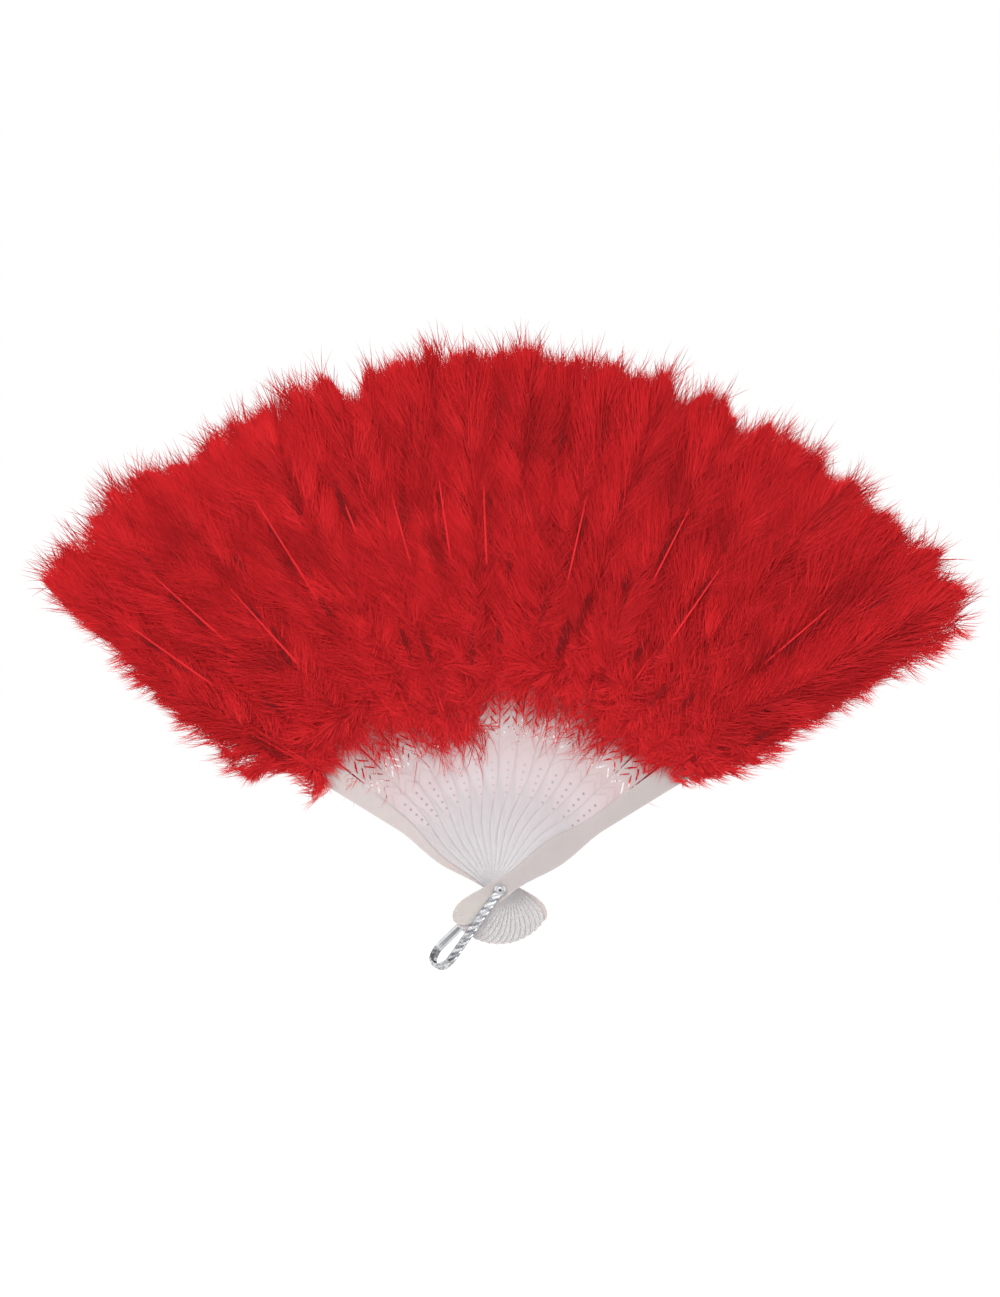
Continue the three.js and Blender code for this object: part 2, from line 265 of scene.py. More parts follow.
# The painted shade in the dots is pale near the middle of the fan and darker on the outer sticks.
DOTS_PALE, DOTS_DARK, PALE_SHARE = 10 * MM, 38 * MM, 0.35
# How far from half-way a floor may be, in layers: the dots' first, then the shallower chevrons', which
# get less painted shade.
DOT_FLOOR, CHEVRON_FLOOR, CHEVRON_SHARE = 0.15, 0.29, 0.2
# Below the rivet the heads get a painted tint of light and shade: paler on the sticks and on the front
# guard, where it takes back the shade that the guards and the bail cast on them, and a little darker on
# the rear guard.
HEAD_TOP, HEAD_FADE = 2 * MM, 8 * MM


def solid_material(name, **sockets):
    """A material with one Principled shader, and a node that knows the place of a point."""
    made, tree = new_material(name)
    shader = add_node(tree, "ShaderNodeBsdfPrincipled", **sockets)
    show(shader)
    return made, tree, shader, tree.nodes.new("ShaderNodeTexCoord")


def placed(where, kind, **sockets):
    """A node that works with the place of a point."""
    node = add_node(where.id_data, kind, **sockets)
    link(where, "Object", node, "Vector")
    return node


def place_of(where):
    """The place of a point as its X, Y and Z."""
    parts = where.id_data.nodes.new("ShaderNodeSeparateXYZ")
    link(where, "Object", parts, 0)
    return parts


def from_to(node, output, start, stop, low=0.0, high=1.0):
    """low where a value is start, high where it is stop, and even between."""
    ends = dict(From_Min=start, From_Max=stop, To_Min=low, To_Max=high)
    even = add_node(node.id_data, "ShaderNodeMapRange", **ends)
    link(node, output, even, "Value")
    return even


def ramp(node, output, *stops):
    """Colours along a value, from stops that are a place and a colour each."""
    made = node.id_data.nodes.new("ShaderNodeValToRGB")
    ends = made.color_ramp.elements
    for end, (place, colour) in zip(ends, (stops[0], stops[-1])):
        end.position, end.color = place, (*colour, 1)
    for place, colour in stops[1:-1]:
        ends.new(place).color = (*colour, 1)
    link(node, output, made, 0)
    return made


def pit_shade_mask(where):
    """Where the painted shade of the pits goes: 1 on the floors of the dots, little on those of the
    chevrons, and 0 on the faces of the sticks.
    """
    depth = place_of(where)
    layers = maths("MULTIPLY_ADD", (depth, "Y"), 1 / LAYER, 0.5 - FIRST_FACE / LAYER)
    part = maths("FRACT", (layers, 0))
    away = maths("PINGPONG", (part, 0), 0.5)
    stops = (0, (1, 1, 1)), (DOT_FLOOR, (CHEVRON_SHARE,) * 3), (CHEVRON_FLOOR, (0, 0, 0))
    floors = ramp(away, 0, *stops)
    floors.color_ramp.interpolation = "CONSTANT"
    aside = maths("ABSOLUTE", (depth, "X"))
    shown = from_to(aside, 0, DOTS_PALE, DOTS_DARK, low=PALE_SHARE)
    return maths("MULTIPLY", (floors, 0), (shown, 0))


# Round the rivet sixteen layers lie on each other and scatter more light, which is painted here as a
# whiter tint; near the hem the red down behind the plastic shines through it, painted as a redder tint.
STACK_PAINTED_LIGHT, RED_SHINE_PAINTED = (0.715, 0.672, 0.686), (0.59, 0.46, 0.455)
STACKED_FROM, STACKED_TO = 50 * MM, 15 * MM
REDDENED_FROM, REDDENED_TO = 55 * MM, 90 * MM
# The heads fan out like pleats, a step of the spread apart, and painted shade lies along their edges,
# where each head steps down to the next.
PLEAT_SHADE = (0.59, 0.555, 0.552)
PLEAT_TURN, PLEAT_SHARE = 7.48, 0.2


def from_axis(where):
    """Distance from the rivet's axis."""
    tree = where.id_data
    flat = tree.nodes.new("ShaderNodeVectorMath")
    flat.operation = "MULTIPLY"
    flat.inputs[1].default_value = (1, 0, 1)
    link(where, "Object", flat, 0)
    away = tree.nodes.new("ShaderNodeVectorMath")
    away.operation = "LENGTH"
    link(flat, 0, away, 0)
    return away


def pleats(where, head):
    """1 along the edges of the fanned heads, where the painted shade lies, and 0 elsewhere."""
    facing = placed(where, "ShaderNodeMapping", Rotation=(math.radians(-90), 0.0, 0.0))
    round_about = where.id_data.nodes.new("ShaderNodeTexGradient")
    round_about.gradient_type = "RADIAL"
    link(facing, 0, round_about, "Vector")
    counted = maths("MULTIPLY", (round_about, "Fac"), 360 / PLEAT_TURN)
    part = maths("FRACT", (counted, 0))
    line = from_to(part, 0, PLEAT_SHARE, 0)
    return maths("MULTIPLY", (line, 0), (head, 0))


def mixed(share, first, second, blend="MIX"):
    """Two colours mixed by a share. Each is a colour, or an output that has one."""
    tree = share.id_data
    mix = tree.nodes.new("ShaderNodeMix")
    mix.data_type, mix.blend_type = "RGBA", blend
    link(share, 0, mix, 0)
    for socket, colour in ((6, first), (7, second)):
        if isinstance(colour, tuple):
            mix.inputs[socket].default_value = (*colour, 1)
        else:
            tree.links.new(colour, mix.inputs[socket])
    return mix.outputs[2]


def plastic(name, colour, deeper, head_light_shade, pressed=None):
    """Milky plastic with clouds of a deeper tone. pressed: the colour of the painted shade on an inner
    stick's dot floors.
    """
    made, tree, shader, where = solid_material(
        name, Roughness=0.3, IOR=1.49,
        Subsurface_Weight=0.68, Subsurface_Scale=0.002, Subsurface_Radius=(1.0, 0.8, 0.8),
    )
    cloud = placed(where, "ShaderNodeTexNoise", Scale=40.0, Detail=3.0, Roughness=0.55)
    clouded = ramp(cloud, 0, (0.3, deeper), (0.7, colour))
    # The heads below the rivet get a painted tint of light and shade.
    head = from_to(place_of(where), "Z", HEAD_TOP, HEAD_TOP - HEAD_FADE)
    tints = [(head, head_light_shade)]
    if pressed:
        away = from_axis(where)
        # Painted light and shade on an inner stick: the whiter stack, the red shine near the hem, the
        # heads' tint, and painted shade along the pleats and in the dots.
        tints = [
            (from_to(away, "Value", STACKED_FROM, STACKED_TO), STACK_PAINTED_LIGHT),
            (from_to(away, "Value", REDDENED_FROM, REDDENED_TO), RED_SHINE_PAINTED),
            *tints, (pleats(where, head), PLEAT_SHADE), (pit_shade_mask(where), pressed),
        ]
    colours = clouded.outputs["Color"]
    for part, tint in tints:
        colours = mixed(part, colours, tint)
    tree.links.new(colours, shader.inputs["Base Color"])
    ripple = placed(where, "ShaderNodeTexNoise", Scale=420.0, Detail=2.0)
    bump = add_node(tree, "ShaderNodeBump", Strength=0.06, Distance=0.0004)
    link(ripple, 0, bump, "Height")
    link(bump, 0, shader, "Normal")
    return made


# Each line: a plastic, its deeper clouds, and the painted tint of light and shade on its heads.
MILK, MILK_DEEP, HEAD_LIGHT_SHADE = (0.65, 0.585, 0.602), (0.615, 0.547, 0.565), (0.69, 0.65, 0.65)
# The floors of the dots get this colour as painted shade.
PIT_SHADE = (0.36, 0.33, 0.34)
REAR, REAR_DEEP, REAR_HEAD_LIGHT_SHADE = (0.655, 0.598, 0.588), (0.625, 0.567, 0.553), (0.64, 0.583, 0.57)
FRONT, FRONT_DEEP, FRONT_HEAD_LIGHT_SHADE = (0.572, 0.522, 0.515), (0.543, 0.492, 0.481), (0.613, 0.567, 0.54)
stick_plastic = plastic("milky_plastic", MILK, MILK_DEEP, HEAD_LIGHT_SHADE, PIT_SHADE)
rear_guard = plastic("rear_guard_plastic", REAR, REAR_DEEP, REAR_HEAD_LIGHT_SHADE)
front_guard = plastic("front_guard_plastic", FRONT, FRONT_DEEP, FRONT_HEAD_LIGHT_SHADE)

# %% Dress the sticks
STEPS = 15
EDGE_ROUND = 0.12 * MM


def stick_name(k):
    if k == 0:
        return "guard_back"
    return "guard_front" if k == STEPS else f"stick_{k:02d}"


def wear(piece, finish):
    piece.data.materials.clear()
    piece.data.materials.append(finish)


def soften_edges(piece, width):
    """Rounds the sharp edges a little, so that they catch the light as moulded ones do."""
    bevel = piece.modifiers.new("soft_edge", "BEVEL")
    bevel.width = width
    bevel.segments = 2
    bevel.limit_method = "ANGLE"
    bevel.angle_limit = math.radians(40)
    bevel.harden_normals = True


for k in range(STEPS + 1):
    stick = nodes[stick_name(k)]
    wear(stick, {0: rear_guard, STEPS: front_guard}.get(k, stick_plastic))
    soften_edges(stick, EDGE_ROUND)
print("sticks dressed:", STEPS + 1)

# %% [markdown]
# ## The bail and the rivet
# They are stamped from thin bright metal. The bail's outer face is pressed with a row of leaves, which
# the imported model has as relief. A polished metal with fine wear in its gloss does the rest, with
# painted shade and painted reflections on the bail.

# %% Metal finish
# The arms of the bail lie 9 mm to either side of the middle of the stack. The pressed leaves stand 0.4
# to 0.8 mm further out, and painted shade in their hollows makes the leaves readable.
STACK_MIDDLE = -11.2 * MM
ARM_AWAY = 9.0 * MM
HOLLOW, CREST = 0.38 * MM, 0.72 * MM
ARM_TURN, TWIST = 40, 5.7 * MM
# Blender's wave texture turns by 10 radians in a length of 1.
WAVE_TURN = 10

silver, tree, shader, where = solid_material("bright_metal", Metallic=1.0)
from_middle = maths("SUBTRACT", (place_of(where), "Y"), STACK_MIDDLE)
away = maths("ABSOLUTE", (from_middle, 0))
# Painted shade: the base colour is darker in the hollows between the leaves.
rise = from_to(away, 0, ARM_AWAY + HOLLOW, ARM_AWAY + CREST)
inside = maths("LESS_THAN", (away, 0), ARM_AWAY)
lit_or_inside = maths("MAXIMUM", (rise, 0), (inside, 0))
hollow_shade = ramp(lit_or_inside, 0, (0, (0.45, 0.455, 0.47)), (1, (0.86, 0.87, 0.89)))
# Every three leaves or so turn over, like a twisted cord: slanting bands of painted shade along the arm,
# where the turned leaves would reflect less light.
along_arm = placed(where, "ShaderNodeMapping", Rotation=(0.0, math.radians(ARM_TURN), 0.0))
wave_scale = 2 * math.pi / (WAVE_TURN * TWIST)
twist = add_node(tree, "ShaderNodeTexWave", Scale=wave_scale, Distortion=1.5, Detail=1.0)
twist.bands_direction = "DIAGONAL"
link(along_arm, 0, twist, "Vector")
shade = ramp(twist, "Fac", (0.15, (0.55, 0.56, 0.59)), (0.6, (1, 1, 1)))
outer = maths("GREATER_THAN", (away, 0), ARM_AWAY)
leaves = mixed(outer, hollow_shade.outputs["Color"], shade.outputs["Color"], "MULTIPLY")
# The inner faces and the bow are smooth, with fine light and dark lines along the strip: painted
# reflections, as a polished strip shows them.
STRIP_TURN, STRIP_LINES, LINE_LONG = 46, 800.0, 40.0
streak_mapping = placed(
    where, "ShaderNodeMapping",
    Rotation=(0.0, math.radians(STRIP_TURN), 0.0), Scale=(1.0, 1.0, LINE_LONG),
)
streak_mapping.vector_type = "TEXTURE"
lines = add_node(tree, "ShaderNodeTexNoise", Scale=STRIP_LINES, Detail=2.0)
link(streak_mapping, 0, lines, "Vector")
strip = ramp(lines, 0, (0.36, (0.3, 0.305, 0.32)), (0.62, (0.84, 0.85, 0.87)))
tree.links.new(mixed(inside, leaves, strip.outputs["Color"]), shader.inputs["Base Color"])
wear_marks = placed(where, "ShaderNodeTexNoise", Scale=600.0, Detail=4.0, Roughness=0.6)
gloss = from_to(wear_marks, 0, 0, 1, low=0.06, high=0.2)
link(gloss, 0, shader, "Roughness")

# The rivet is a hollow one: a dull rolled rim around an eye painted dark, as painted shade in its
# hollow.
EYE = 0.75 * MM
eyelet, tree, shader, where = solid_material("rivet_metal", Metallic=1.0, Roughness=0.28)
rim = from_to(from_axis(where), "Value", 0.6 * EYE, 1.2 * EYE)
metal = ramp(rim, 0, (0, (0.06, 0.062, 0.075)), (1, (0.62, 0.63, 0.66)))
link(metal, "Color", shader, "Base Color")

for name, finish in (("bail", silver), ("rivet", eyelet)):
    wear(nodes[name], finish)
RIVET_ROUND, BAIL_ROUND = 0.2 * MM, 0.1 * MM
soften_edges(nodes["rivet"], RIVET_ROUND)
soften_edges(nodes["bail"], BAIL_ROUND)

# %% [markdown]
# ## The colour of the feathers
# Dyed down is never one flat red: each barb has its own depth of dye. It also gets painted shade towards
# its root, deep in the down, and painted light towards its tip. So every barb carries a place on a small
# colour chart, across the chart by its own tone and up it from root to tip. The chart is made of nodes,
# and the map that holds the places is called OFBake.

# %% Dyed down
CHART = "OFBake"
DARK_RED, DEEP_RED, MID_RED = (0.14, 0.003, 0.005), (0.5, 0.0098, 0.0135), (0.74, 0.0165, 0.0225)
BRIGHT_RED, QUILL_RED = (0.9, 0.026, 0.033), (0.8, 0.02, 0.027)
# A barb is painted darker at its root, as painted shade, and lighter at its tip, as painted light.
ROOT_PAINTED_SHADE, TIP_PAINTED_LIGHT = 0.82, 1.12


def dyed(name, stops, roughness):
    """Dyed down, coloured by its chart: the stops across it, and painted shade at its root and painted
    light at its tip.
    """
    made, tree, shader, _ = solid_material(
        name, Roughness=roughness, Specular_IOR_Level=0.18,
        Sheen_Weight=0.12, Sheen_Roughness=0.5, Sheen_Tint=(1.0, 0.25, 0.22, 1),
    )
    chart = tree.nodes.new("ShaderNodeUVMap")
    chart.uv_map = CHART
    parts = tree.nodes.new("ShaderNodeSeparateXYZ")
    link(chart, 0, parts, 0)
    tone = ramp(parts, "X", *stops)
    fade = from_to(parts, "Y", 0, 1, low=ROOT_PAINTED_SHADE, high=TIP_PAINTED_LIGHT)
    faded = tree.nodes.new("ShaderNodeVectorMath")
    faded.operation = "SCALE"
    link(tone, "Color", faded, 0)
    link(fade, 0, faded, "Scale")
    link(faded, 0, shader, "Base Color")
    return made


# Its darkest end is what the slits use, as painted shade.
DYE = ((0.0, DARK_RED), (0.12, DEEP_RED), (0.5, MID_RED), (0.93, BRIGHT_RED), (1.0, QUILL_RED))
down_red = dyed("dyed_down", DYE, 0.75)

# %% [markdown]
# ## A barb
# A feather is a shaft with hundreds of barbs. Blender's hair would draw them, but hair isn't a mesh,
# and the fan is handed on as meshes. So each barb is a very thin three-sided spindle: a root, two
# bends and a tip. All barbs of a plume are made at once as arrays of numbers, which takes no time.

# %% Barbs as meshes
SIDES = 3
CAP = [(0, 2, 1), (0, 3, 2), (0, 1, 3)]
BAND = [(1, 2, 5, 4), (2, 3, 6, 5), (3, 1, 4, 6)]
POINT = [(4, 5, 7), (5, 6, 7), (6, 4, 7)]
BARB_FACES = CAP + BAND + POINT
CORNERS = np.concatenate(BARB_FACES)
FACE_SIZES = np.array([len(face) for face in BARB_FACES])
# The place of each of a barb's eight points on the chart: across it, and from root to tip.
CHART_ACROSS = np.array([0, -1, 0, 1, -1, 0, 1, 0]) * 0.004
CHART_ALONG = np.array([0.02, 0.35, 0.35, 0.35, 0.7, 0.7, 0.7, 0.98])
OFF_AXIS = np.array([0.31, 0.87, 0.38])
# A barb has three sides, and each corner of a face belongs to one of them.
CORNER_SIDE = np.repeat([0, 1, 2] * 3, FACE_SIZES)


def unit(v):
    return v / np.maximum(np.linalg.norm(v, axis=-1, keepdims=True), 1e-12)


def spokes(along):
    """Three directions across each direction."""
    one = unit(np.cross(along, OFF_AXIS))
    two = np.cross(along, one)
    turns = 2 * np.pi * np.arange(SIDES) / SIDES
    return np.cos(turns)[:, None] * one[:, None] + np.sin(turns)[:, None] * two[:, None]


# Down scatters light between its barbs, so a tuft is lit as one soft form more than barb by barb. A
# barb's normals are therefore turned this much towards the way its tuft faces. A side of the barb that
# looks to the back is turned to the back, so that the fan is lit well from both sides.
SOFTNESS = 0.78


def barb_mesh(name, paths, radii, tones, facing):
    """One mesh of many barbs. paths: root, two bends and tip of each. radii: at the bends."""
    root, one, two, tip = (paths[:, i] for i in range(4))
    first_way, second_way = unit(two - root), unit(tip - one)
    first, second = spokes(first_way), spokes(second_way)
    points = np.concatenate([
        root[:, None], one[:, None] + radii[:, 0, None, None] * first,
        two[:, None] + radii[:, 1, None, None] * second, tip[:, None],
    ], axis=1)
    own = np.concatenate([-first_way[:, None], first, second, second_way[:, None]], axis=1)
    sides = first + np.roll(first, -1, axis=1)
    flip = np.where(sides[..., 1] * facing[:, None, 1] < 0, -1.0, 1.0)[:, CORNER_SIDE]
    ways = np.repeat(facing[:, None], len(CORNERS), axis=1)
    ways[..., 1] *= flip
    normals = unit((1 - SOFTNESS) * own[:, CORNERS] + SOFTNESS * ways)
    count, each = points.shape[:2]
    places = np.arange(count)[:, None] * each + CORNERS
    mesh = bpy.data.meshes.new(name)
    mesh.vertices.add(count * each)
    mesh.vertices.foreach_set("co", points.astype(np.float32).ravel())
    mesh.loops.add(places.size)
    mesh.loops.foreach_set("vertex_index", places.astype(np.int32).ravel())
    sizes = np.tile(FACE_SIZES, count)
    mesh.polygons.add(len(sizes))
    mesh.polygons.foreach_set("loop_start", (np.cumsum(sizes) - sizes).astype(np.int32))
    mesh.polygons.foreach_set("use_smooth", np.ones(len(sizes), bool))
    across = np.clip(tones, 0.01, 0.99)[:, None] + CHART_ACROSS
    along = np.broadcast_to(CHART_ALONG, (count, each))
    chart = mesh.uv_layers.new(name=CHART)
    spots = np.stack([across, along], axis=-1)[:, CORNERS]
    chart.uv.foreach_set("vector", spots.astype(np.float32).ravel())
    mesh.update(calc_edges=True)
    mesh.validate()
    mesh.normals_split_custom_set(normals.reshape(-1, 3).astype(np.float32))
    return mesh


# %% [markdown]
# ## A plume's own space
# A plume grows along its stick, so its points are easiest to think of as a distance along the stick
# from the rivet, a distance across it, and a height above the stick's face. The fan's spread and the
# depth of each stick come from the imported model.

# %% From a plume's space to the fan
fold = next(j for j in frame["joints"] if j["name"] == "fan_fold")
SPREAD = math.radians(fold["range_deg"][1])
STEP = SPREAD / STEPS


def stick_angle(k):
    return math.pi / 2 + SPREAD / 2 - k * STEP


def stick_faces(k):
    """Depth of the front and of the rear face of a stick."""
    low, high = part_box(stick_name(k))
    return low.y, high.y


def swung(k, along, across):
    """Along and across a stick as X and Z of the fan."""
    c, s = math.cos(stick_angle(k)), math.sin(stick_angle(k))
    return along * c - across * s, along * s + across * c


def to_fan(k, face, out, points):
    """Points along, across and above a stick, in millimetres, as points of the fan."""
    along, across, height = (points[..., i] * MM for i in range(3))
    x, z = swung(k, along, across)
    return np.stack([x, face + out * height, z], axis=-1)


def turned(k, out, tilts):
    """Unit directions out of a stick's face, tilted along and across the stick."""
    x, z = swung(k, tilts[:, 0], tilts[:, 1])
    return unit(np.stack([x, np.full(len(tilts), float(out)), z], axis=-1))


# %% [markdown]
# ## Growing a marabou plume
# Marabou is down: long soft barbs that leave the shaft at a wide angle near its foot and lie almost
# along it near its tip. Barbs stick together in small tufts, so the tufts get a direction and a lift
# of their own and their barbs follow. The barbs that would pass the rim are shortened to it.

# %% Barbs of one plume
# The share of a barb's length, and what is left of its lean and lift, in each of its three lengths.
BARB_BENDS = ((0.36, 1.0, 1.0), (0.34, 0.75, 0.55), (0.30, 0.45, 0.0))
# How much barbs differ: the lengths of tufts and of barbs, and the turn and lift of a bend in radians.
TUFT_LENGTHS, BARB_LENGTHS, BEND_TURN, BEND_LIFT = 0.12, (0.6, 1.15), 0.13, 0.08
# Tilts out of the face: of a tuft along and across, to its side of the shaft, and of one barb.
TILT_ALONG, TILT_ACROSS, TILT_SIDE, TILT_BARB = 0.4, 0.35, 0.55, 0.15
# No barb is lower than this over the stick, and one that is cut to the rim keeps at least a quarter.
LOWEST, LEAST_KEPT = 0.15, 0.25
# What is higher than a plume's room is pressed down by this share.
PRESSED_DOWN = 0.8
# A barb's second bend has this share of its thickness.
TAPER = 0.6
TONE_LOW, TONE_HIGH, TUFT_TONES, BARB_TONES, RIM_BRIGHTER_DEEP = 0.08, 0.93, 0.15, 0.05, 25
# The down near the hem is lit from below by the white plastic, so it is a little brighter.
HEM_GLOW, HEM_GLOW_AT, HEM_GLOW_DEEP = 0.42, 95, 55
# Between two plumes lies a valley, with painted shade: its barbs are a little darker.
VALLEY_SHADE = 0.21


def by_place(table, at):
    """A value along the shaft from a short table of (place, value)."""
    places, values = zip(*table)
    return np.interp(at, places, values)


def shaft_of(plume, at):
    """Points of a plume's shaft, from 0 at its foot to 1 at its tip."""
    turn = math.radians(plume["turn"])
    s, b = plume["span"] * at, plume["bow"] * np.sin(np.pi * at)
    along = plume["foot"] + s * math.cos(turn) - b * math.sin(turn)
    across = plume["shift"] + s * math.sin(turn) + b * math.cos(turn)
    return np.stack([along, across, by_place(plume["height"], at)], axis=-1)


# The dense rim rises and falls from tuft to tuft. These are its corners: their places, in sticks from
# the left, and their distances from the rivet in millimetres.
RIM = (
    (-0.12, 249), (0, 271), (0.12, 273), (0.38, 270), (0.62, 274), (1, 266), (1.12, 271), (1.25, 268),
    (1.62, 276), (2.75, 257), (3.38, 266), (3.62, 261), (4.12, 261), (4.25, 267), (5, 264), (5.25, 247),
    (5.62, 265), (5.75, 261), (6.12, 265), (6.38, 261), (6.5, 266), (7.38, 261), (7.75, 267), (8.5, 260),
    (8.75, 264), (9.62, 259), (9.88, 267), (10.25, 254), (10.62, 267), (10.75, 266), (11.12, 249),
    (11.5, 264), (12.12, 261), (12.38, 267), (12.62, 256), (13, 265), (13.5, 261), (13.62, 266),
    (14, 260), (14.5, 271), (14.75, 263), (15.25, 272), (15.62, 253),
)
RIM_NEAR = 0.45


def rim_at(plume, turn):
    """Distance of the dense rim from the rivet, at angles from a plume's stick."""
    return by_place(RIM, plume["stick"] - turn / STEP)


def highest_rim(place):
    """The rim's highest point near a place."""
    return by_place(RIM, np.linspace(place - RIM_NEAR, place + RIM_NEAR, 19)).max()


def past_rim(plume, points):
    """How far points are past the dense rim of a plume."""
    away = np.hypot(points[..., 0], points[..., 1])
    turn = np.arctan2(points[..., 1], points[..., 0])
    off = turn - math.radians(plume["aim"])
    own = away - plume["rim"] + plume["round"] * np.minimum((2 * off / STEP) ** 2, 2.5)
    return np.maximum(own, away - rim_at(plume, turn))


# The outer edge of the down on the two guards: place along the guard, and width from its middle. Small
# waves run along it: their height and length.
EDGE_WAVES = ((1.6, 4.1), (1.2, 1.7))
EDGE = {
    1: (
        (90, 4), (96, 9), (99, 16), (106, 12), (113, 8), (120, 12), (125, 18), (128, 24), (137, 24),
        (150, 21), (167, 18), (180, 16), (196, 15), (209, 13), (212, 9), (220, 6), (247, 3), (262, 1),
    ),
    -1: (
        (100, 6), (108, 10), (121, 15), (135, 18), (146, 19), (160, 16), (175, 17), (218, 20), (254, 22),
        (265, 18),
    ),
}


def past_edge(plume, points):
    """How far points are past the outer edge of a guard's plumes."""
    if not plume["outer"]:
        return np.full(points.shape[:-1], -1.0)
    along = points[..., 0]
    wave = sum(high * np.sin(along / long) for high, long in EDGE_WAVES)
    return plume["outer"] * points[..., 1] - by_place(EDGE[plume["outer"]], along) - wave


def gather(paths, tuft, share):
    """Draws the tips of each tuft's barbs together."""
    members = np.maximum(np.bincount(tuft), 1)
    for place, pull in ((2, 0.5 * share), (3, share)):
        for axis in range(3):
            middle = np.bincount(tuft, paths[:, place, axis]) / members
            paths[:, place, axis] += pull * (middle[tuft] - paths[:, place, axis])


def heading(turn, lift):
    """Unit steps that turn from the stick's line and lift off its face."""
    return np.stack([np.cos(turn) * np.cos(lift), np.sin(turn) * np.cos(lift), np.sin(lift)], axis=-1)


def barb_radii(rng, thick, count):
    """Radii of barbs at their two bends."""
    return np.stack([rng.uniform(*thick, count), rng.uniform(*thick, count) * TAPER], axis=-1) * MM


def grow(rng, plume):
    """Barbs of one plume: paths in the plume's space, radii, tones and tilts."""
    count, tufts = plume["barbs"], plume["tufts"]
    at = rng.random(count) ** plume["crowd"]
    side = rng.choice([-1.0, 1.0], count)
    tuft = (at * tufts + rng.normal(0, 0.25, count)).astype(int).clip(0, tufts - 1)
    tuft = tuft + tufts * (side > 0)

    def own(middle, play):
        """One draw for each tuft, for all its barbs."""
        return rng.normal(middle, play, 2 * tufts)[tuft]

    lean = by_place(plume["lean"], at) + own(0, plume["lean_play"])
    lean += rng.normal(0, plume["loose"], count)
    lift = own(plume["lift"], plume["lift_play"]) + rng.normal(0, plume["loose"], count)
    length = by_place(plume["long"], at) * own(1, TUFT_LENGTHS).clip(0.7, 1.3)
    length *= rng.uniform(*BARB_LENGTHS, count)
    lean, lift = np.radians(lean), np.radians(lift)
    turn = math.radians(plume["turn"])
    points = [shaft_of(plume, at)]
    for share, bend, rise in BARB_BENDS:
        way = side * lean * bend + turn + rng.normal(0, BEND_TURN, count)
        step = heading(way, lift * rise + rng.normal(0, BEND_LIFT, count))
        points.append(points[-1] + step * (length * share)[:, None])
    paths = np.stack(points, axis=1)
    gather(paths, tuft, plume["gather"])
    fringe = plume["fringe"] * rng.random(count) ** 4
    roots, tips = paths[:, 0], paths[:, 3]
    reach = np.hypot(tips[:, 0], tips[:, 1]) - np.hypot(roots[:, 0], roots[:, 1])
    wide = abs(tips[:, 1] - roots[:, 1])
    keep = np.ones(count)
    for past, room in ((past_rim(plume, tips), reach), (past_edge(plume, tips), wide)):
        cut = np.clip(1 - (past - fringe) / np.maximum(room, 1e-6), LEAST_KEPT, 1)
        keep = np.minimum(keep, np.where(past > fringe, cut, 1.0))
    paths = paths[:, :1] + (paths - paths[:, :1]) * keep[:, None, None]
    paths[..., 2] -= PRESSED_DOWN * np.maximum(paths[..., 2] - plume["room"], 0)
    paths[..., 2] = paths[..., 2].clip(LOWEST)
    radii = barb_radii(rng, plume["thick"], count)
    tones = plume["tone"] + own(0, TUFT_TONES) + rng.normal(0, BARB_TONES, count)
    off = np.arctan2(paths[:, 2, 1], paths[:, 2, 0]) - math.radians(plume["aim"])
    tones -= VALLEY_SHADE * np.minimum((2 * off / STEP) ** 2, 1)
    tones += plume["rim_dye"] * np.clip(1 + past_rim(plume, paths[:, 3]) / RIM_BRIGHTER_DEEP, 0, 1)
    tones += HEM_GLOW * np.clip(1 - (paths[:, 0, 0] - HEM_GLOW_AT) / HEM_GLOW_DEEP, 0, 1)
    tones = tones.clip(TONE_LOW, TONE_HIGH)
    tilts = np.stack([own(0, TILT_ALONG), own(0, TILT_ACROSS) + TILT_SIDE * side], axis=-1)
    return paths, radii, tones, tilts + rng.normal(0, TILT_BARB, (count, 2))


# %% [markdown]
# Past the dense rim stand single stiff barbs, like eyelashes. They come in small bunches that fan out
# from one spot, so the bunch is chosen first and its lashes after it.

# %% Single barbs
# The share of a strand's length, and how many times its curl, in each of its three lengths.
STRAND_BENDS = ((0.4, 0.0), (0.34, 1.0), (0.26, 2.0))


def round_rivet(away, turn, height):
    """Points at a distance from the rivet, turned from a stick's line, at a height above its face."""
    return np.stack([away * np.cos(turn), away * np.sin(turn), height], axis=-1)


def strands(root, way, lift, length, curl):
    """Barbs that start at their roots, with a heading, a lift, a length and a curl each."""
    points = [root]
    for share, bend in STRAND_BENDS:
        points.append(points[-1] + heading(way + bend * curl, lift) * (length * share)[:, None])
    paths = np.stack(points, axis=1)
    paths[..., 2] = paths[..., 2].clip(LOWEST)
    return paths


def strand_set(rng, paths, thick, tones):
    """Strands with their radii, tones and tilts, like those of a plume."""
    count = len(paths)
    radii = barb_radii(rng, thick, count)
    return paths, radii, rng.uniform(*tones, count), rng.normal(0, 0.2, (count, 2))


# %% Lashes at the rim
LASHES = 5


